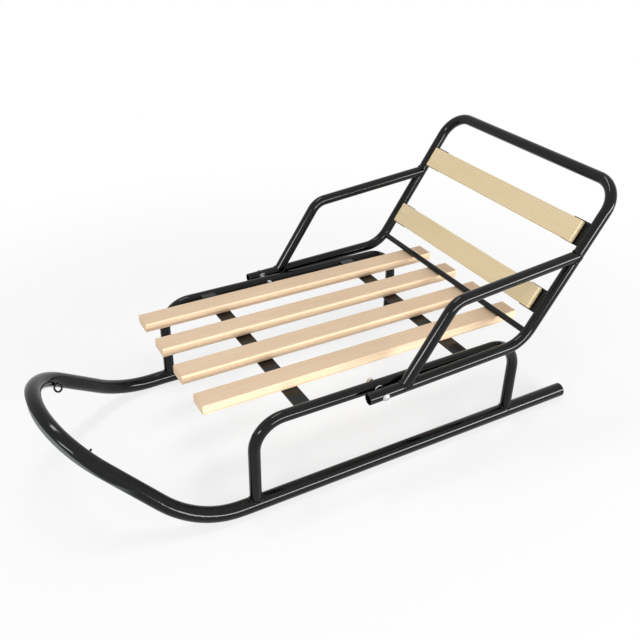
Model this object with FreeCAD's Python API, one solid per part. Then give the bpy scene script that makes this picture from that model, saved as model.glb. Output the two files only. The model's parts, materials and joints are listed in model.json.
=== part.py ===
import FreeCAD, Part
import math
import os

# Baby sled: bent steel tube frame, wooden seat and back slats.
# Millimetres.  +Z is up, the sled's front is -Y, +X is the rider's left.
# The origin lies on the ground, under the middle of the sled.

os.makedirs("parts", exist_ok=True)

V = FreeCAD.Vector

# ---- driving dimensions ---------------------------------------------------

# stock sizes
runner_diameter = 24.0
tube_diameter = 18.0
tube_wall = 1.2
rod_diameter = 10.0
strap_width = 25.0
strap_thickness = 2.5
seat_slat_width = 35.5
seat_slat_thickness = 15.0
back_slat_width = 37.5
back_slat_thickness = 10.0
slat_edge_radius = 2.0

# runner and bow
runner_spacing = 363.0
runner_rear_y = 416.5
rise_start_y = -208.0
rise_radius = 152.5
rise_angle = 42.0
taper_start = -20.5
taper_radius = 330.0
taper_angle = 23.3
taper_straight = 92.0
bow_flat_depth = 2.5
bow_flat_half_angle = 62.0
bow_flat_tilt = 45.0

# support tubes under the seat
support_height = 156.0
front_leg_y = -178.0
rear_leg_y = 290.0
front_leg_bend = 46.0
rear_leg_bend = 53.0

# seat
front_strap_y = -99.5
rear_strap_y = 180.0
seat_front_y = -233.5
seat_rear_y = 324.5
seat_slat_pitch = 80.0
seat_slat_count = 4

# back frame
side_gap = 5.5
back_front_y = -7.5
back_front_drop = 0.3
back_bend_y = 275.5
back_bend_rise = 10.0
back_bend_radius = 57.0
back_lean = 56.6
back_length = 281.5
back_corner_radius = 44.0
back_bolt_y = 18.0

# armrests
arm_foot_y = 53.5
arm_bend_y = 133.0
arm_bend_rise = 122.5
arm_bend_radius = 33.0
arm_end_share = 0.57

# back slats and their tabs, measured up the lean from the back bend
lower_slat_middle = 72.5
upper_slat_middle = 192.0
back_slat_end_gap = 8.0
tab_height = 40.0
tab_reach = 33.0
tab_thickness = 3.0
tab_forward = 1.0
lower_tab_middle = 72.0
upper_tab_middle = 192.8

# rope eyes on the inside of the bow
eye_angle = 52.0
eye_ring_radius = 6.3
eye_wire_radius = 1.6
eye_stem_radius = 2.4

# fasteners
bolt_radius = 3.0
bolt_head_radius = 6.0
bolt_head_height = 3.2
nut_width = 10.0
nut_height = 5.0
spacer_radius = 5.0
spacer_flange_radius = 8.5
spacer_flange_thickness = 1.6
screw_radius = 2.0
screw_head_radius = 4.0
screw_head_height = 1.8
screw_depth = 7.0
shank_overrun = 2.0
strap_sink = 2.0

# named clearances
weld_gap = 0.2
hole_clearance = 0.2
thread_clearance = 0.05
cut_margin = 1.0
end_bore_depth = 60.0
end_round = 0.4

# ---- sizes that follow ----------------------------------------------------

runner_radius = runner_diameter / 2
tube_radius = tube_diameter / 2
half_track = runner_spacing / 2
half_back = half_track + tube_diameter + side_gap
runner_axis_z = runner_radius
rise = math.radians(rise_angle)
taper = math.radians(taper_angle)
lean = math.radians(back_lean)
seat_underside_z = support_height + tube_radius - strap_sink
seat_top_z = seat_underside_z + seat_slat_thickness
back_front_height = support_height - back_front_drop
back_bend_height = back_front_height + back_bend_rise
arm_bend_height = support_height + arm_bend_rise
back_slat_length = 2 * (half_back - tube_radius - back_slat_end_gap)
sides = {"left": 1, "right": -1}

# ---- helpers --------------------------------------------------------------


def bent_path(points, radii):
    """Edges of a polyline whose inner corners are rounded to the given radii."""
    edges = []
    start = points[0]
    for index, radius in enumerate(radii):
        corner = points[index + 1]
        back = (points[index] - corner).normalize()
        ahead = (points[index + 2] - corner).normalize()
        half = back.getAngle(ahead) / 2
        reach = radius / math.tan(half)
        middle = (back + ahead).normalize()
        first = corner + back * reach
        last = corner + ahead * reach
        crown = corner + middle * (radius / math.sin(half) - radius)
        edges.append(Part.makeLine(start, first))
        edges.append(Part.Arc(first, crown, last).toShape())
        start = last
    edges.append(Part.makeLine(start, points[-1]))
    return edges


def sweep(edges, radius):
    """Round bar along a chain of edges."""
    path = Part.Wire(edges)
    first = edges[0]
    start = first.valueAt(first.FirstParameter)
    heading = first.tangentAt(first.FirstParameter)
    ring = Part.Wire([Part.makeCircle(radius, start, heading)])
    return path.makePipeShell([ring], True, False)


def mirror(shape):
    """The same shape on the other side of the sled."""
    return shape.mirror(V(0, 0, 0), V(1, 0, 0))


def cylinder(radius, start, end):
    """Straight round bar between two points."""
    along = end - start
    return Part.makeCylinder(radius, along.Length, start, along)


def open_end(shape, end, inward, radius):
    """Bore the open end of a tube and take the sharp edge off its rim."""
    bore_radius = radius - tube_wall
    bore = cylinder(bore_radius, end - inward, end + inward * end_bore_depth)
    rim = []
    for edge in shape.Edges:
        box = edge.BoundBox
        near = box.Center.distanceToPoint(end) < 0.5
        if near and box.DiagonalLength < 4 * radius:
            rim.append(edge)
    return shape.makeFillet(end_round, rim).cut(bore)


def slat(length_axis, length, width, thickness):
    """Wooden slat about the origin with eased edges."""
    if length_axis == "y":
        board = Part.makeBox(width, length, thickness)
        board.translate(V(-width / 2, -length / 2, 0))
    else:
        board = Part.makeBox(length, thickness, width)
        board.translate(V(-length / 2, 0, -width / 2))
    return board.makeFillet(slat_edge_radius, board.Edges)


def export(name, shape):
    """One STEP file for each piece."""
    solids = shape.Solids
    body = solids[0] if len(solids) == 1 else shape
    body.exportStep("parts/" + name + ".step")


# ---- runner and bow -------------------------------------------------------

rise_length = rise_radius * rise
rise_end = V(0, rise_start_y - rise_radius * math.sin(rise),
             runner_axis_z + rise_radius * (1 - math.cos(rise)))
bow_ahead = V(0, -math.cos(rise), math.sin(rise))
bow_up = V(0, math.sin(rise), math.cos(rise))


def bow_place(x, run):
    """Point on the runner's axis, from its half width and its run ahead of the rise."""
    if run <= 0:
        return V(x, rise_start_y - run, runner_axis_z)
    if run < rise_length:
        turn = run / rise_radius
        return V(x, rise_start_y - rise_radius * math.sin(turn),
                 runner_axis_z + rise_radius * (1 - math.cos(turn)))
    return V(x, 0, 0) + rise_end + bow_ahead * (run - rise_length)


taper_end_x = half_track - taper_radius * (1 - math.cos(taper))
taper_end_run = taper_start + taper_radius * math.sin(taper)
nose_start_x = taper_end_x - taper_straight * math.sin(taper)
nose_start_run = taper_end_run + taper_straight * math.cos(taper)
nose_radius = nose_start_x / math.cos(taper)
nose_centre_run = nose_start_run - nose_radius * math.sin(taper)
nose_centre = bow_place(0, nose_centre_run)


def taper_place(run):
    """Point on the side of the bow where it rises and closes in together."""
    ahead = run - taper_start
    if run < taper_end_run:
        turn = math.asin(ahead / taper_radius)
        return bow_place(half_track - taper_radius * (1 - math.cos(turn)), run)
    extra = (run - taper_end_run) * math.tan(taper)
    return bow_place(taper_end_x - extra, run)


double_bend_end = max(rise_length, taper_end_run)
bend_steps = 12
bend_run = (double_bend_end - taper_start) / bend_steps
bend_points = [taper_place(taper_start + bend_run * i) for i in range(bend_steps + 1)]
side_heading = V(-math.sin(taper), 0, 0) + bow_ahead * math.cos(taper)
nose_start = bow_place(nose_start_x, nose_start_run)
nose_tip = bow_place(0, nose_centre_run + nose_radius)


def across(point):
    """The matching point on the other side."""
    return V(-point.x, point.y, point.z)


def curve(points, first_heading, last_heading):
    """Smooth curve through points with set headings at both ends."""
    line = Part.BSplineCurve()
    line.interpolate(Points=points, InitialTangent=first_heading, FinalTangent=last_heading)
    return line.toShape()


runner_rear = V(half_track, runner_rear_y, runner_axis_z)
left_bend = curve(bend_points, V(0, -1, 0), side_heading)
right_points = [across(point) for point in reversed(bend_points)]
right_heading = V(-side_heading.x, side_heading.y, side_heading.z)
right_bend = curve(right_points, right_heading * -1, V(0, 1, 0))
runner_edges = [
    Part.makeLine(runner_rear, bend_points[0]),
    left_bend,
    Part.makeLine(bend_points[-1], nose_start),
    Part.Arc(nose_start, nose_tip, across(nose_start)).toShape(),
    Part.makeLine(across(nose_start), right_points[0]),
    right_bend,
    Part.makeLine(right_points[-1], across(runner_rear)),
]
runner = sweep(runner_edges, runner_radius)

# The outer, lower face of the nose is flattened by the bending.
tilt = math.radians(bow_flat_tilt)
fade = math.cos(tilt) * (1 - math.cos(math.radians(bow_flat_half_angle)))
flat_shift = bow_flat_depth / fade
flat_axis = nose_centre - bow_ahead * flat_shift
out_dir = bow_ahead * math.cos(tilt) - bow_up * math.sin(tilt)
flat_dir = bow_ahead * math.sin(tilt) + bow_up * math.cos(tilt)
flat_middle = nose_tip + out_dir * (runner_radius - bow_flat_depth)
flat_corners = [
    flat_middle - flat_dir * runner_diameter,
    flat_middle + flat_dir * runner_diameter,
    flat_middle + flat_dir * runner_diameter + out_dir * runner_diameter,
    flat_middle - flat_dir * runner_diameter + out_dir * runner_diameter,
]
flat_sweep = bow_flat_half_angle + 6.0
flat_face = Part.Face(Part.makePolygon(flat_corners + flat_corners[:1]))
flat_face.rotate(flat_axis, bow_up, -flat_sweep)
flat_cutter = flat_face.revolve(flat_axis, bow_up, 2 * flat_sweep)
runner = runner.cut(flat_cutter)
for sign in sides.values():
    rear = V(sign * half_track, runner_rear_y, runner_axis_z)
    runner = open_end(runner, rear, V(0, -1, 0), runner_radius)
export("runner_and_bow_tube", runner)

# ---- rope eyes ------------------------------------------------------------

eye_turn = math.radians(eye_angle)
eye_out = V(math.sin(eye_turn), 0, 0) + bow_ahead * math.cos(eye_turn)
eye_along = V(math.cos(eye_turn), 0, 0) - bow_ahead * math.sin(eye_turn)
eye_foot = nose_centre + eye_out * nose_radius
eye_inward = eye_out * -1
eye_reach = runner_radius + weld_gap + eye_ring_radius + eye_wire_radius
eye_centre = eye_foot + eye_inward * eye_reach
eye_bore_radius = eye_ring_radius - eye_wire_radius + hole_clearance
ring = Part.makeTorus(eye_ring_radius, eye_wire_radius, eye_centre, eye_along)
stem_start = eye_foot + eye_inward * (runner_radius + weld_gap)
stem_end = eye_foot + eye_inward * (eye_reach - eye_ring_radius)
eye = ring.fuse(cylinder(eye_stem_radius, stem_start, stem_end))
bore_reach = eye_along * eye_ring_radius
eye = eye.cut(cylinder(eye_bore_radius, eye_centre - bore_reach, eye_centre + bore_reach))
eye = eye.removeSplitter()
export("left_rope_eye", eye)
export("right_rope_eye", mirror(eye))

# ---- support tubes --------------------------------------------------------

back_slope = back_bend_rise / (back_bend_y - back_front_y)
bolt_z = back_front_height + back_slope * (back_bolt_y - back_front_y)
bolt_axis_start = V(0, back_bolt_y, bolt_z)
bolt_hole = cylinder(bolt_radius + hole_clearance, bolt_axis_start,
                     bolt_axis_start + V(2 * half_back, 0, 0))
support_points = [
    V(half_track, front_leg_y, runner_axis_z),
    V(half_track, front_leg_y, support_height),
    V(half_track, rear_leg_y, support_height),
    V(half_track, rear_leg_y, runner_axis_z),
]
support = sweep(bent_path(support_points, [front_leg_bend, rear_leg_bend]), tube_radius)
runner_clear = cylinder(runner_radius + weld_gap,
                        V(half_track, front_leg_y - runner_diameter, runner_axis_z),
                        V(half_track, rear_leg_y + runner_diameter, runner_axis_z))
support = support.cut(runner_clear).cut(bolt_hole)
export("left_support_tube", support)
export("right_support_tube", mirror(support))

# ---- cross straps, seat slats and their screws ----------------------------

support_line = [V(half_track, seat_front_y, support_height),
                V(half_track, seat_rear_y, support_height)]
support_clear = cylinder(tube_radius + weld_gap, *support_line)
slat_places = [(i - (seat_slat_count - 1) / 2) * seat_slat_pitch for i in range(seat_slat_count)]
slat_names = ["right_outer", "right_inner", "left_inner", "left_outer"]
straps = {"front": front_strap_y, "rear": rear_strap_y}
for strap_name, strap_y in straps.items():
    strap = Part.makeBox(2 * half_track, strap_width, strap_thickness)
    strap.translate(V(-half_track, strap_y - strap_width / 2, seat_underside_z - strap_thickness))
    strap = strap.cut(support_clear).cut(mirror(support_clear))
    for x in slat_places:
        hole_start = V(x, strap_y, seat_underside_z - strap_thickness - cut_margin)
        hole = cylinder(screw_radius + hole_clearance, hole_start,
                        V(x, strap_y, seat_underside_z + cut_margin))
        strap = strap.cut(hole)
    export(strap_name + "_cross_strap", strap)

seat_length = seat_rear_y - seat_front_y
for slat_name, x in zip(slat_names, slat_places):
    board = slat("y", seat_length, seat_slat_width, seat_slat_thickness)
    board.translate(V(x, (seat_front_y + seat_rear_y) / 2, seat_underside_z))
    for strap_name, strap_y in straps.items():
        under = V(x, strap_y, seat_underside_z - strap_thickness - weld_gap)
        tip = V(x, strap_y, seat_underside_z + screw_depth)
        board = board.cut(cylinder(screw_radius + weld_gap, under, tip + V(0, 0, cut_margin)))
        head = cylinder(screw_head_radius, under - V(0, 0, screw_head_height), under)
        screw = head.fuse(cylinder(screw_radius, under, tip)).removeSplitter()
        export("seat_screw_" + strap_name + "_" + slat_name, screw)
    export("seat_slat_" + slat_name, board)

# ---- back frame -----------------------------------------------------------

up_lean = V(0, math.cos(lean), math.sin(lean))
forward = V(0, -math.sin(lean), math.cos(lean))
back_bend = V(half_back, back_bend_y, back_bend_height)
back_front = V(half_back, back_front_y, back_front_height)
back_top = back_bend + up_lean * back_length
back_points = [back_front, back_bend, back_top]
back_points += [across(point) for point in reversed(back_points)]
back_radii = [back_bend_radius, back_corner_radius, back_corner_radius, back_bend_radius]
back_edges = bent_path(back_points, back_radii)
back_frame = sweep(back_edges, tube_radius)
back_clear = sweep(back_edges, tube_radius + weld_gap)
inward = (back_bend - back_front).normalize()
back_frame = open_end(back_frame, back_front, inward, tube_radius)
back_frame = open_end(back_frame, across(back_front), inward, tube_radius)
back_frame = back_frame.cut(bolt_hole).cut(mirror(bolt_hole))
export("back_frame_tube", back_frame)

# The cross rod rests on the seat slats and joins the two lower bends.
rod_z = seat_top_z + rod_diameter / 2
bend_reach = back_bend_radius * math.tan((lean - math.atan2(inward.z, inward.y)) / 2)
bend_centre = back_bend - inward * bend_reach + V(0, -inward.z, inward.y) * back_bend_radius
rod_drop = bend_centre.z - rod_z
rod_y = bend_centre.y + math.sqrt(back_bend_radius ** 2 - rod_drop ** 2)
rod_ends = [V(-half_back, rod_y, rod_z), V(half_back, rod_y, rod_z)]
export("back_cross_rod", cylinder(rod_diameter / 2, *rod_ends).cut(back_clear))

# ---- armrests -------------------------------------------------------------

arm_foot = back_front + inward * ((arm_foot_y - back_front_y) / inward.y)
arm_bend = V(half_back, arm_bend_y, arm_bend_height)
arm_end = back_bend + up_lean * (back_length * arm_end_share)
arm = sweep(bent_path([arm_foot, arm_bend, arm_end], [arm_bend_radius]), tube_radius)
arm = arm.cut(back_clear)
export("left_armrest_tube", arm)
export("right_armrest_tube", mirror(arm))

# ---- back slats, tabs and screws ------------------------------------------

tab_outer_x = half_back
tab_inner_x = half_back - tube_radius - tab_reach
slat_back = tab_forward + tab_thickness


def on_back(x, up, off):
    """Point on the leaning back: across, up the lean and forward of the tubes."""
    return V(x, back_bend_y, back_bend_height) + up_lean * up + forward * off


back_turn = FreeCAD.Rotation(V(1, 0, 0), 90 - back_lean)


def to_back(shape, x, up, off):
    """Turn an upright shape onto the leaning back."""
    turned = shape.copy()
    turned.Placement = FreeCAD.Placement(on_back(x, up, off), back_turn.inverted())
    return turned


back_rows = {"lower": (lower_slat_middle, lower_tab_middle),
             "upper": (upper_slat_middle, upper_tab_middle)}
for row, (slat_middle, tab_middle) in back_rows.items():
    board = slat("x", back_slat_length, back_slat_width, back_slat_thickness)
    board.translate(V(0, -back_slat_thickness, 0))
    board = to_back(Part.makeCompound([board]), 0, slat_middle, slat_back).Solids[0]
    for side, sign in sides.items():
        middle_x = sign * (tab_inner_x + back_slat_length / 2) / 2
        tab = Part.makeBox(tab_outer_x - tab_inner_x, tab_thickness, tab_height)
        tab.translate(V(tab_inner_x if sign > 0 else -tab_outer_x, -tab_thickness, -tab_height / 2))
        tab = to_back(Part.makeCompound([tab]), 0, tab_middle, tab_forward).Solids[0].cut(back_clear)
        for level, step in (("low", -1), ("high", 1)):
            up = slat_middle + step * back_slat_width / 4
            under = on_back(middle_x, up, tab_forward - weld_gap)
            tip = on_back(middle_x, up, slat_back + screw_depth)
            tab = tab.cut(cylinder(screw_radius + hole_clearance, under - forward, tip))
            board = board.cut(cylinder(screw_radius + weld_gap, under, tip + forward))
            head = cylinder(screw_head_radius, under - forward * screw_head_height, under)
            screw = head.fuse(cylinder(screw_radius, under, tip)).removeSplitter()
            export("back_screw_" + row + "_" + side + "_" + level, screw)
        export(row + "_" + side + "_slat_tab", tab)
    export(row + "_back_slat", board)

# ---- bolts that hold the back frame to the support tubes ------------------


def hexagon(width, height, centre, along):
    """Hexagon bar standing on a centre point."""
    radius = width / math.sqrt(3)
    corners = [V(0, radius * math.cos(math.radians(60 * i)), radius * math.sin(math.radians(60 * i)))
               for i in range(7)]
    block = Part.Face(Part.makePolygon(corners)).extrude(V(height * along, 0, 0))
    block.translate(centre)
    return block


head_face = half_back + tube_radius + weld_gap
nut_face = half_track - tube_radius - weld_gap
shank_end = nut_face - nut_height - shank_overrun
cap_radius = (bolt_head_radius ** 2 + bolt_head_height ** 2) / (2 * bolt_head_height)
cap_centre = V(head_face + bolt_head_height - cap_radius, back_bolt_y, bolt_z)
cap_block = cylinder(bolt_head_radius, V(head_face, back_bolt_y, bolt_z),
                     V(head_face + bolt_head_height + cut_margin, back_bolt_y, bolt_z))
bolt_head = Part.makeSphere(cap_radius, cap_centre).common(cap_block)
shank = cylinder(bolt_radius, V(shank_end, back_bolt_y, bolt_z), V(head_face, back_bolt_y, bolt_z))
bolt = bolt_head.fuse(shank).removeSplitter()
nut = hexagon(nut_width, nut_height, V(nut_face, back_bolt_y, bolt_z), -1)
nut = nut.cut(cylinder(bolt_radius + thread_clearance, V(shank_end, back_bolt_y, bolt_z),
                       V(nut_face + cut_margin, back_bolt_y, bolt_z)))
spacer_inner = half_track + tube_radius + weld_gap
spacer_outer = half_back - tube_radius - weld_gap
flange_start = spacer_outer - spacer_flange_thickness
spacer = cylinder(spacer_radius, V(spacer_inner, back_bolt_y, bolt_z),
                  V(spacer_outer, back_bolt_y, bolt_z))
flange = cylinder(spacer_flange_radius, V(flange_start, back_bolt_y, bolt_z),
                  V(spacer_outer, back_bolt_y, bolt_z))
spacer = spacer.fuse(flange).removeSplitter()
spacer = spacer.cut(cylinder(bolt_radius + hole_clearance,
                             V(spacer_inner - cut_margin, back_bolt_y, bolt_z),
                             V(spacer_outer + cut_margin, back_bolt_y, bolt_z)))
for name, shape in (("back_bolt", bolt), ("back_bolt_nut", nut), ("back_bolt_spacer", spacer)):
    export("left_" + name, shape)
    export("right_" + name, mirror(shape))
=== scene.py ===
import json
import math
import bpy
from bpy.props import FloatProperty, FloatVectorProperty, PointerProperty
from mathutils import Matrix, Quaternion, Vector

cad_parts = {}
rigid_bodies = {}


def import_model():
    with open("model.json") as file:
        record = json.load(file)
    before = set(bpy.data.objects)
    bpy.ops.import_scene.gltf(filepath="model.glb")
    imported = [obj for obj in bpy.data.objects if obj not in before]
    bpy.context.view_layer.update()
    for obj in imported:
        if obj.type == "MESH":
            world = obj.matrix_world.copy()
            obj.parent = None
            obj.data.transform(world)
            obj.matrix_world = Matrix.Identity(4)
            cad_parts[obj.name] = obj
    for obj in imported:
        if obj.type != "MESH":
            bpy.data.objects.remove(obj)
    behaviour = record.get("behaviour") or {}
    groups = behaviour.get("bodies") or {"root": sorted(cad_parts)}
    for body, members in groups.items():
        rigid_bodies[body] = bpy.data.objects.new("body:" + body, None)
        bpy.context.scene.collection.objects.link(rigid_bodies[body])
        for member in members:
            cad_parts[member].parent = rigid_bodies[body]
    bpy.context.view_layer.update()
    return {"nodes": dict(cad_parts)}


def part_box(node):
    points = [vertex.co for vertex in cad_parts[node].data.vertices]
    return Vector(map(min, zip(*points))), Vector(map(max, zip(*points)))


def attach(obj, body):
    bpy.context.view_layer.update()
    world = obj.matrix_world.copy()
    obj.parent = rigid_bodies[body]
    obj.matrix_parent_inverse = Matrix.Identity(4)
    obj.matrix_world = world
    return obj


# Blender's starting objects aren't part of the sled.
for stray in list(bpy.data.objects):
    bpy.data.objects.remove(stray)
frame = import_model()
nodes = frame["nodes"]

bl_info = {
    "name": "Baby sled finishes",
    "version": (1, 0, 0),
    "blender": (4, 5, 0),
    "location": "View3D > Sidebar > Baby sled",
    "description": "Finishes, weld beads and studio for a tube and slat baby sled",
    "category": "Object",
}

MM = 0.001
TAU = 2 * math.pi

# ---- the sled's own sizes -------------------------------------------------

RUNNER_RADIUS = 12 * MM
TUBE_RADIUS = 9 * MM

# The bow rises at this angle. Its nose is flattened on a cone of 45 degrees, whose axis
# stands square to the bow's plane at FLAT_AXIS. FLAT_REACH is the cone's radius in that
# plane. These and ARM_JOINTS follow from the sizes of the bow and the back frame.
BOW_RISE = math.radians(42.0)
FLAT_AXIS = (0.0, -0.32875, 0.06801)
FLAT_REACH = 0.14879

# The armrest's two ends on the back frame: place, direction from there, and the
# direction of the back frame's tube, all as (y, z).
ARM_JOINTS = (
    ("foot", (0.0535, 0.15786), (0.0795, 0.12064), (0.283, 0.010)),
    ("top", (0.36383, 0.29966), (-0.23083, -0.02116), (0.55048, 0.83485)),
)

# ---- weld beads -----------------------------------------------------------

BEAD_SEGMENTS = (72, 12)    # round the tube and round the bead
BEAD_STANDOFF = 0.3         # from the tube's skin to the bead's middle, in bead radii
RIPPLE_DEPTH = 0.10         # share of the bead's radius
WANDER_DEPTH = 0.08         # the hand's slow swell, as a share of the bead's radius
WANDER_TURNS = 3            # swells in one turn round the tube
WANDER_SHIFT = 40           # radians per metre along the sled, so that beads differ

# ---- finishes -------------------------------------------------------------

# Roughness of the flat at the nose, whose colour also holds a painted grey sheen.
NOSE_FLAT_ROUGHNESS = 0.42
RING_STRETCH = 0.03         # the rings wander this much less along the board than across
RING_SHARE = 0.55           # share of the ring colours over the clouds
FIBRE_SHARE = 0.22          # share of the fibre colours over both

# ---- stage ----------------------------------------------------------------

FLOOR_RADIUS = 9.0
FLOOR_DROP = 0.3 * MM
SHADOW_NEAR = 0.45          # the shadow is at its fullest up to here from the middle
SHADOW_FAR = 1.2            # and the floor is plain white from here on
SHADOW_WHITE = 0.72         # how far the near floor is lifted to white
SKY_COLOUR = "#F4F7FF"
SKY_STRENGTH = 0.40
LIGHT_AIM = Vector((0, 0, 0.15))
# name, place, width and height in metres, power in watts
LAMPS = (
    ("side_strip", (2.4, 1.0, 0.55), (2.6, 0.42), 86),
    ("front_softbox", (1.1, -2.3, 1.2), (0.9, 0.35), 22),
    ("top_strip", (-0.5, -0.2, 2.4), (1.2, 0.3), 16),
)
CAMERA_AZIMUTH = math.radians(60.22)
CAMERA_ELEVATION = math.radians(31.44)
CAMERA_ROLL = math.radians(1.12)
CAMERA_DISTANCE = 1.2831
CAMERA_TARGET = Vector((0.0013, 0.0267, 0.1695))
CAMERA_LENS = 44.11
CAMERA_SENSOR = 36.0

# ---- helpers --------------------------------------------------------------


def linear(code):
    """Linear RGBA from an sRGB hex value."""
    channels = [int(code[i:i + 2], 16) / 255 for i in (1, 3, 5)]
    low = [c / 12.92 if c <= 0.04045 else ((c + 0.055) / 1.055) ** 2.4 for c in channels]
    return (*low, 1.0)


def add_node(tree, kind, values=None, links=None):
    """Add a node, set its properties and sockets, and link its inputs."""
    node = tree.nodes.new(kind)
    for name, value in (values or {}).items():
        if isinstance(name, str) and hasattr(node, name):
            setattr(node, name, value)
        else:
            node.inputs[name].default_value = value
    for name, source in (links or {}).items():
        tree.links.new(source, node.inputs[name])
    return node


def set_stops(node, stops):
    """Set a colour ramp's stops from position and colour pairs."""
    first, last = node.color_ramp.elements
    first.position, first.color = stops[0]
    last.position, last.color = stops[-1]
    for position, colour in stops[1:-1]:
        node.color_ramp.elements.new(position).color = colour
    return node.outputs["Color"]


def new_material(name):
    """An empty node material, its node tree and its Object coordinates."""
    material = bpy.data.materials.new(name)
    material.use_nodes = True
    tree = material.node_tree
    tree.nodes.clear()
    return material, tree, add_node(tree, "ShaderNodeTexCoord").outputs["Object"]


def finish_material(tree, surface):
    """Link the shader to the material's output."""
    add_node(tree, "ShaderNodeOutputMaterial", {}, {"Surface": surface})


def paint(obj, material):
    """Give a piece one material in every slot."""
    if not obj.material_slots:
        obj.data.materials.append(material)
    for slot in obj.material_slots:
        slot.material = material


def named(*words):
    """CAD nodes whose names hold any of the words."""
    found = [obj for name, obj in nodes.items() if any(word in name for word in words)]
    if not found:
        raise RuntimeError("no node is named " + " or ".join(words))
    return found


# ---- sizes and colours a user would change --------------------------------


def colour_setting(name, description, code):
    """A colour on the panel, with its default as an sRGB hex value."""
    return FloatVectorProperty(name=name, description=description, subtype="COLOR", size=4,
                               default=linear(code), min=0.0, max=1.0)


class SledFinishSettings(bpy.types.PropertyGroup):
    """Sizes and colours of the sled's finish."""
    bead_width: FloatProperty(
        name="Weld bead width", description="Width of the weld beads round the tube joints",
        default=3.2 * MM, min=0.5 * MM, unit="LENGTH")
    ripple_gap: FloatProperty(
        name="Weld ripple spacing", description="Distance between the ripples of a weld bead",
        default=2.4 * MM, min=0.5 * MM, unit="LENGTH")
    enamel_deep: colour_setting("Enamel", "Colour of clean enamel", "#030405")
    enamel_hazy: colour_setting("Hazy enamel", "Colour of handled enamel", "#090A0B")
    # Painted sheen: the grey of the flat at the nose stands in for the light it catches.
    painted_sheen: colour_setting("Nose scuff", "Colour of the rubbed flat at the nose", "#565D5E")
    seat_pale: colour_setting("Seat, pale", "Pale wood of the seat slats", "#EFD5B3")
    seat_tan: colour_setting("Seat, tan", "Middle tone of the seat slats", "#E3C5A2")
    seat_dark: colour_setting("Seat, dark", "Late wood and fibres of the seat slats", "#C99F77")
    back_pale: colour_setting("Back, pale", "Pale wood of the back slats", "#EEDCB4")
    back_tan: colour_setting("Back, tan", "Middle tone of the back slats", "#E6D0A2")
    back_dark: colour_setting("Back, dark", "Late wood and fibres of the back slats", "#D2B684")
    zinc_bright: colour_setting("Zinc, bright", "Bright part of the zinc plate", "#D4D5D4")
    zinc_dull: colour_setting("Zinc, dull", "Dull part of the zinc plate", "#B7B9BA")
    floor: colour_setting("Floor", "Colour of the studio floor", "#F4F4F3")


def settings():
    """The sled's settings on the scene."""
    return bpy.context.scene.sled_finish


# ---- materials ------------------------------------------------------------


def nose_flat(tree, place):
    """One on the flattened nose of the bow and zero elsewhere, from its cone."""
    bow = add_node(tree, "ShaderNodeMapping",
                   {"vector_type": "TEXTURE", "Location": FLAT_AXIS, "Rotation": (-BOW_RISE, 0, 0)},
                   {"Vector": place})
    axes = add_node(tree, "ShaderNodeSeparateXYZ", {}, {"Vector": bow.outputs["Vector"]}).outputs
    level = add_node(tree, "ShaderNodeCombineXYZ", {}, {"X": axes["X"], "Y": axes["Y"]})
    out = add_node(tree, "ShaderNodeVectorMath", {"operation": "LENGTH"},
                   {0: level.outputs["Vector"]})
    reach = add_node(tree, "ShaderNodeMath", {"operation": "SUBTRACT"},
                     {0: out.outputs["Value"], 1: axes["Z"]})
    flat = add_node(tree, "ShaderNodeMapRange",
                    {"interpolation_type": "SMOOTHSTEP", "From Min": FLAT_REACH - 0.9 * MM,
                     "From Max": FLAT_REACH - 0.25 * MM}, {"Value": reach.outputs["Value"]})
    ahead = add_node(tree, "ShaderNodeMapRange",
                     {"interpolation_type": "SMOOTHSTEP", "From Min": -10 * MM,
                      "From Max": -60 * MM}, {"Value": axes["Y"]})
    both = add_node(tree, "ShaderNodeMath", {"operation": "MULTIPLY"},
                    {0: flat.outputs["Result"], 1: ahead.outputs["Result"]})
    return both.outputs["Value"]


def gloss_enamel(name):
    """Gloss black stoving enamel on steel tube.

    Sprayed and baked: deep black and glossy, with a faint orange peel about 2 mm across,
    a little haze in patches of about 70 mm where it has been handled, and a rougher flat
    at the nose with a painted grey sheen in its colour.
    """
    material, tree, place = new_material(name)
    haze = add_node(tree, "ShaderNodeTexNoise", {"Scale": 1 / (70 * MM), "Detail": 4.0},
                    {"Vector": place}).outputs["Fac"]
    peel = add_node(tree, "ShaderNodeTexNoise", {"Scale": 1 / (2.2 * MM), "Detail": 1.5},
                    {"Vector": place})
    bump = add_node(tree, "ShaderNodeBump", {"Strength": 0.10, "Distance": 0.08 * MM},
                    {"Height": peel.outputs["Fac"]})
    # Mask of the flat at the nose, which is made rougher and painted grey as a sheen.
    nose_sheen_mask = nose_flat(tree, place)
    gloss = add_node(tree, "ShaderNodeMapRange",
                     {"From Min": 0.3, "From Max": 0.7, "To Min": 0.09, "To Max": 0.15},
                     {"Value": haze})
    rough = add_node(tree, "ShaderNodeMix", {"data_type": "FLOAT", 3: NOSE_FLAT_ROUGHNESS},
                     {0: nose_sheen_mask, 2: gloss.outputs["Result"]})
    tone = set_stops(add_node(tree, "ShaderNodeValToRGB", {}, {"Fac": haze}),
                     [(0.35, settings().enamel_deep), (0.75, settings().enamel_hazy)])
    # Painted sheen: the flat at the nose is painted grey over the enamel.
    colour = add_node(tree, "ShaderNodeMix", {"data_type": "RGBA", 7: settings().painted_sheen},
                      {0: nose_sheen_mask, 6: tone})
    shader = add_node(tree, "ShaderNodeBsdfPrincipled",
                      {"IOR": 1.45, "Specular IOR Level": 0.3},
                      {"Base Color": colour.outputs[2], "Roughness": rough.outputs[0],
                       "Normal": bump.outputs["Normal"]})
    finish_material(tree, shader.outputs["BSDF"])
    return material


def grain_scale(along, across_size, along_size):
    """The scale that fits a pattern to a grain's size across and along the board."""
    scale = [1 / across_size] * 3
    scale["xyz".index(along)] = 1 / along_size
    return scale


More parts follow.
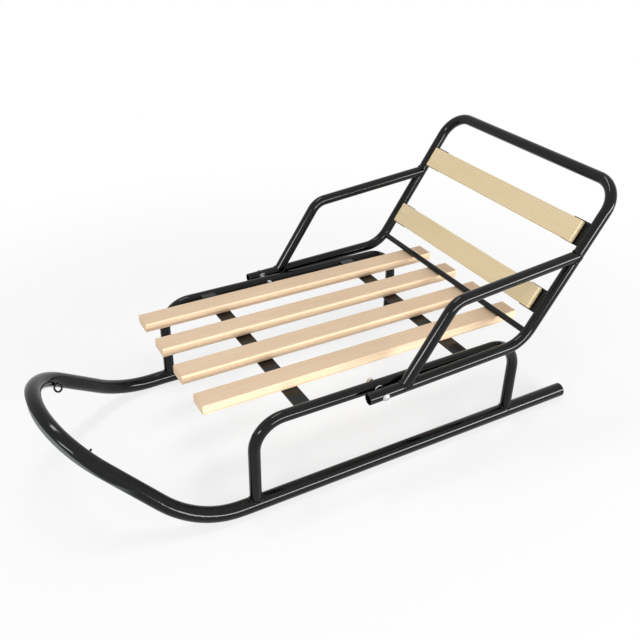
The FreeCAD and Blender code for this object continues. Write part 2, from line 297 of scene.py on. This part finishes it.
def planed_wood(name, pale, tan, dark, along, pith, ring_gap, roughness):
    """Planed pale wood under thin clear varnish.

    The growth rings are ring_gap apart and centred on pith. They run as long faint lines
    on the faces and show as arcs on the cut ends. Fibres 0.7 mm wide and 45 mm long lie
    along the board, over soft clouds of colour 30 mm wide.
    """
    material, tree, place = new_material(name)
    stretch = [1.0, 1.0, 1.0]
    stretch["xyz".index(along)] = RING_STRETCH
    rings_place = add_node(tree, "ShaderNodeMapping",
                           {"Location": [-part for part in pith], "Scale": stretch},
                           {"Vector": place})
    # The wave texture repeats every TAU / 20 of its own units.
    rings = add_node(tree, "ShaderNodeTexWave",
                     {"wave_type": "RINGS", "rings_direction": along.upper(), "wave_profile": "SAW",
                      "Scale": TAU / (20 * ring_gap), "Distortion": 5.0, "Detail": 3.0,
                      "Detail Scale": 0.12, "Detail Roughness": 0.6},
                     {"Vector": rings_place.outputs["Vector"]}).outputs["Fac"]
    fibre_place = add_node(tree, "ShaderNodeMapping",
                           {"Scale": grain_scale(along, 0.7 * MM, 45 * MM)}, {"Vector": place})
    fibres = add_node(tree, "ShaderNodeTexNoise", {"Scale": 1.0, "Detail": 3.0, "Roughness": 0.6},
                      {"Vector": fibre_place.outputs["Vector"]}).outputs["Fac"]
    cloud_place = add_node(tree, "ShaderNodeMapping",
                           {"Scale": grain_scale(along, 30 * MM, 260 * MM)}, {"Vector": place})
    clouds = add_node(tree, "ShaderNodeTexNoise", {"Scale": 1.0, "Detail": 2.0},
                      {"Vector": cloud_place.outputs["Vector"]}).outputs["Fac"]
    ring_tone = set_stops(add_node(tree, "ShaderNodeValToRGB", {}, {"Fac": rings}),
                          [(0.0, pale), (0.55, tan), (0.93, dark), (1.0, tan)])
    fibre_tone = set_stops(add_node(tree, "ShaderNodeValToRGB", {}, {"Fac": fibres}),
                           [(0.36, dark), (0.56, pale)])
    cloud_tone = set_stops(add_node(tree, "ShaderNodeValToRGB", {}, {"Fac": clouds}),
                           [(0.3, tan), (0.7, pale)])
    ringed = add_node(tree, "ShaderNodeMix", {"data_type": "RGBA", 0: RING_SHARE},
                      {6: cloud_tone, 7: ring_tone})
    colour = add_node(tree, "ShaderNodeMix", {"data_type": "RGBA", 0: FIBRE_SHARE},
                      {6: ringed.outputs[2], 7: fibre_tone})
    rough = add_node(tree, "ShaderNodeMapRange",
                     {"To Min": roughness - 0.06, "To Max": roughness + 0.08}, {"Value": fibres})
    bump = add_node(tree, "ShaderNodeBump", {"Strength": 0.35, "Distance": 0.06 * MM},
                    {"Height": fibres})
    shader = add_node(tree, "ShaderNodeBsdfPrincipled",
                      {"IOR": 1.45, "Coat Weight": 0.12, "Coat Roughness": 0.3},
                      {"Base Color": colour.outputs[2], "Roughness": rough.outputs["Result"],
                       "Normal": bump.outputs["Normal"]})
    finish_material(tree, shader.outputs["BSDF"])
    return material


def bright_zinc(name):
    """Bright zinc plate on steel fasteners.

    Electroplated: a pale metal with a slight crystalline mottle about 1.4 mm across.
    """
    material, tree, place = new_material(name)
    mottle = add_node(tree, "ShaderNodeTexVoronoi", {"Scale": 1 / (1.4 * MM)},
                      {"Vector": place}).outputs["Distance"]
    tone = set_stops(add_node(tree, "ShaderNodeValToRGB", {}, {"Fac": mottle}),
                     [(0.0, settings().zinc_bright), (1.0, settings().zinc_dull)])
    rough = add_node(tree, "ShaderNodeMapRange", {"To Min": 0.2, "To Max": 0.34},
                     {"Value": mottle})
    shader = add_node(tree, "ShaderNodeBsdfPrincipled", {"Metallic": 1.0},
                      {"Base Color": tone, "Roughness": rough.outputs["Result"]})
    finish_material(tree, shader.outputs["BSDF"])
    return material


# ---- the frame, slats and fasteners ---------------------------------------


class SLED_OT_paint_frame(bpy.types.Operator):
    """Paint the tubes, straps, tabs and rope eyes in gloss black enamel"""
    bl_idname = "sled.paint_frame"
    bl_label = "Paint the frame"

    def execute(self, context):
        enamel = gloss_enamel("gloss_black_enamel")
        for obj in named("tube", "strap", "slat_tab", "rope_eye", "cross_rod"):
            paint(obj, enamel)
        return {"FINISHED"}


class SLED_OT_finish_slats(bpy.types.Operator):
    """Give the seat and back slats their planed wood"""
    bl_idname = "sled.finish_slats"
    bl_label = "Finish the slats"

    def execute(self, context):
        own = settings()
        seat = planed_wood("planed_seat_beech", own.seat_pale, own.seat_tan, own.seat_dark,
                           "y", (-0.31, 0.0, 0.052), 3.4 * MM, 0.46)
        back = planed_wood("planed_back_birch", own.back_pale, own.back_tan, own.back_dark,
                           "x", (0.0, 0.21, -0.17), 4.2 * MM, 0.44)
        for obj in named("seat_slat"):
            paint(obj, seat)
        for obj in named("_back_slat"):
            paint(obj, back)
        return {"FINISHED"}


class SLED_OT_plate_fasteners(bpy.types.Operator):
    """Give the bolts, nuts, spacers and screws their zinc plate"""
    bl_idname = "sled.plate_fasteners"
    bl_label = "Plate the fasteners"

    def execute(self, context):
        zinc = bright_zinc("bright_zinc_plate")
        for obj in named("screw", "back_bolt"):
            paint(obj, zinc)
        return {"FINISHED"}


# ---- welds ----------------------------------------------------------------


def weld_bead(name, joint, away, host_along, host_radius):
    """A rippled bead of weld where a round tube stands on another round tube.

    joint is where the two axes meet, away is the standing tube's direction from there,
    and host_along and host_radius are the other tube's direction and radius.
    """
    bead = settings().bead_width / 2
    ring_radius = TUBE_RADIUS + bead * BEAD_STANDOFF
    segments, bead_segments = BEAD_SEGMENTS
    bpy.ops.object.select_all(action="DESELECT")
    bpy.ops.mesh.primitive_torus_add(major_segments=segments, minor_segments=bead_segments,
                                     major_radius=ring_radius, minor_radius=bead)
    piece = bpy.context.object
    piece.name = name
    joint, away = Vector(joint), Vector(away).normalized()
    host_along = Vector(host_along).normalized()
    turn = Vector((0, 0, 1)).rotation_difference(away).to_matrix()
    ripples = round(TAU * TUBE_RADIUS / settings().ripple_gap)
    wander_start = joint.y * WANDER_SHIFT
    flat_away = away - host_along * away.dot(host_along)
    for vertex in piece.data.vertices:
        spot = vertex.co.copy()
        angle = math.atan2(spot.y, spot.x)
        ring = Vector((math.cos(angle), math.sin(angle), 0)) * ring_radius
        ripple = RIPPLE_DEPTH * math.cos(ripples * angle)
        wander = WANDER_DEPTH * math.sin(WANDER_TURNS * angle + wander_start)
        # The ring's point climbs along the standing tube until it is on the other's skin.
        out = turn @ ring
        flat = out - host_along * out.dot(host_along)
        a, b = flat_away.dot(flat_away), flat.dot(flat_away)
        c = flat.dot(flat) - host_radius ** 2
        climb = (-b + math.sqrt(max(b * b - a * c, 0.0))) / a
        swollen = (spot - ring) * (1 + ripple + wander)
        vertex.co = joint + out + away * climb + turn @ swollen
    piece.data.update()
    bpy.ops.object.shade_smooth()
    paint(piece, bpy.data.materials["gloss_black_enamel"])
    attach(piece, "root")


class SLED_OT_weld_joints(bpy.types.Operator):
    """Lay the weld beads at the legs and armrests"""
    bl_idname = "sled.weld_joints"
    bl_label = "Weld the joints"

    def execute(self, context):
        runner_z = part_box("runner_and_bow_tube")[0][2] + RUNNER_RADIUS
        for side in ("left", "right"):
            low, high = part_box(side + "_support_tube")
            x = (low[0] + high[0]) / 2
            legs = (("front", low[1] + TUBE_RADIUS), ("rear", high[1] - TUBE_RADIUS))
            for end, y in legs:
                weld_bead(side + "_" + end + "_leg_weld", (x, y, runner_z), (0, 0, 1),
                          (0, 1, 0), RUNNER_RADIUS)
            low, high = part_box(side + "_armrest_tube")
            x = (low[0] + high[0]) / 2
            for end, place, away, along in ARM_JOINTS:
                weld_bead(side + "_arm_" + end + "_weld", (x, *place), (0, *away),
                          (0, *along), TUBE_RADIUS)
        return {"FINISHED"}


# ---- stage ----------------------------------------------------------------


def camera_sees(tree):
    """One where the camera sees a surface, straight or by gloss or glass."""
    path = add_node(tree, "ShaderNodeLightPath").outputs
    gloss = add_node(tree, "ShaderNodeMath", {"operation": "MAXIMUM"},
                     {0: path["Is Glossy Ray"], 1: path["Is Transmission Ray"]})
    seen = add_node(tree, "ShaderNodeMath", {"operation": "MAXIMUM"},
                    {0: path["Is Camera Ray"], 1: gloss.outputs[0]})
    return seen.outputs[0]


def lay_floor():
    """A matt white floor that keeps the sled's shadow and is plain white further out."""
    bpy.ops.object.select_all(action="DESELECT")
    bpy.ops.mesh.primitive_circle_add(vertices=96, radius=FLOOR_RADIUS, fill_type="NGON",
                                      location=(0, 0, -FLOOR_DROP))
    floor = bpy.context.object
    floor.name = "studio_floor"
    material, tree, place = new_material("matt_white_studio_floor")
    away = add_node(tree, "ShaderNodeVectorMath", {"operation": "LENGTH"}, {0: place})
    lift = add_node(tree, "ShaderNodeMapRange",
                    {"interpolation_type": "SMOOTHSTEP", "From Min": SHADOW_NEAR,
                     "From Max": SHADOW_FAR, "To Min": SHADOW_WHITE, "To Max": 1.0},
                    {"Value": away.outputs["Value"]})
    amount = add_node(tree, "ShaderNodeMath", {"operation": "MULTIPLY"},
                      {0: camera_sees(tree), 1: lift.outputs["Result"]})
    shade = add_node(tree, "ShaderNodeBsdfDiffuse", {"Color": settings().floor})
    white = add_node(tree, "ShaderNodeEmission", {"Color": (1, 1, 1, 1), "Strength": 1.0})
    mixed = add_node(tree, "ShaderNodeMixShader", {},
                     {0: amount.outputs[0], 1: shade.outputs[0], 2: white.outputs[0]})
    finish_material(tree, mixed.outputs[0])
    paint(floor, material)


def set_sky(scene):
    """Soft pale light from all round, seen as plain white."""
    world = bpy.data.worlds.new("white_studio")
    scene.world = world
    world.use_nodes = True
    tree = world.node_tree
    tree.nodes.clear()
    light = add_node(tree, "ShaderNodeBackground",
                     {"Color": linear(SKY_COLOUR), "Strength": SKY_STRENGTH})
    shown = add_node(tree, "ShaderNodeBackground", {"Color": (1, 1, 1, 1), "Strength": 1.0})
    mixed = add_node(tree, "ShaderNodeMixShader", {},
                     {0: camera_sees(tree), 1: light.outputs[0], 2: shown.outputs[0]})
    add_node(tree, "ShaderNodeOutputWorld", {}, {"Surface": mixed.outputs[0]})


def hang_lamp(name, place, size, power):
    """A rectangular soft lamp that looks at the sled."""
    data = bpy.data.lights.new(name, "AREA")
    data.shape = "RECTANGLE"
    data.size, data.size_y = size
    data.energy = power
    lamp = bpy.data.objects.new(name, data)
    bpy.context.collection.objects.link(lamp)
    lamp.location = place
    aim = LIGHT_AIM - Vector(place)
    lamp.rotation_euler = aim.to_track_quat("-Z", "Y").to_euler()


def place_camera(scene):
    """The camera, in front of the sled on its left and above it."""
    level = math.cos(CAMERA_ELEVATION)
    away = Vector((math.sin(CAMERA_AZIMUTH) * level, -math.cos(CAMERA_AZIMUTH) * level,
                   math.sin(CAMERA_ELEVATION)))
    data = bpy.data.cameras.new("studio_camera")
    data.sensor_width = CAMERA_SENSOR
    data.lens = CAMERA_LENS
    data.clip_end = 50.0
    camera = bpy.data.objects.new("studio_camera", data)
    bpy.context.collection.objects.link(camera)
    turn = (-away).to_track_quat("-Z", "Y") @ Quaternion((0, 0, 1), CAMERA_ROLL)
    camera.location = CAMERA_TARGET + away * CAMERA_DISTANCE
    camera.rotation_euler = turn.to_euler()
    scene.camera = camera


class SLED_OT_set_stage(bpy.types.Operator):
    """Set up the floor, the soft lights, the surroundings and the camera"""
    bl_idname = "sled.set_stage"
    bl_label = "Set the stage"

    def execute(self, context):
        context.scene.view_settings.view_transform = "Standard"
        lay_floor()
        set_sky(context.scene)
        for name, place, size, power in LAMPS:
            hang_lamp(name, place, size, power)
        place_camera(context.scene)
        return {"FINISHED"}


# ---- add-on ---------------------------------------------------------------

STEPS = (SLED_OT_paint_frame, SLED_OT_finish_slats, SLED_OT_plate_fasteners,
         SLED_OT_weld_joints, SLED_OT_set_stage)


class SLED_PT_panel(bpy.types.Panel):
    """Lists the sled's settings and steps"""
    bl_idname = "SLED_PT_panel"
    bl_label = "Baby sled"
    bl_space_type = "VIEW_3D"
    bl_region_type = "UI"
    bl_category = "Baby sled"

    def draw(self, context):
        for name in SledFinishSettings.__annotations__:
            self.layout.prop(context.scene.sled_finish, name)
        for step in STEPS:
            self.layout.operator(step.bl_idname)


CLASSES = (SledFinishSettings, *STEPS, SLED_PT_panel)


def register():
    for item in CLASSES:
        bpy.utils.register_class(item)
    bpy.types.Scene.sled_finish = PointerProperty(type=SledFinishSettings)


def unregister():
    del bpy.types.Scene.sled_finish
    for item in reversed(CLASSES):
        bpy.utils.unregister_class(item)


def main():
    """Finish every piece in order."""
    register()
    bpy.ops.sled.paint_frame()
    bpy.ops.sled.finish_slats()
    bpy.ops.sled.plate_fasteners()
    bpy.ops.sled.weld_joints()
    bpy.ops.sled.set_stage()


if __name__ == "__main__":
    main()
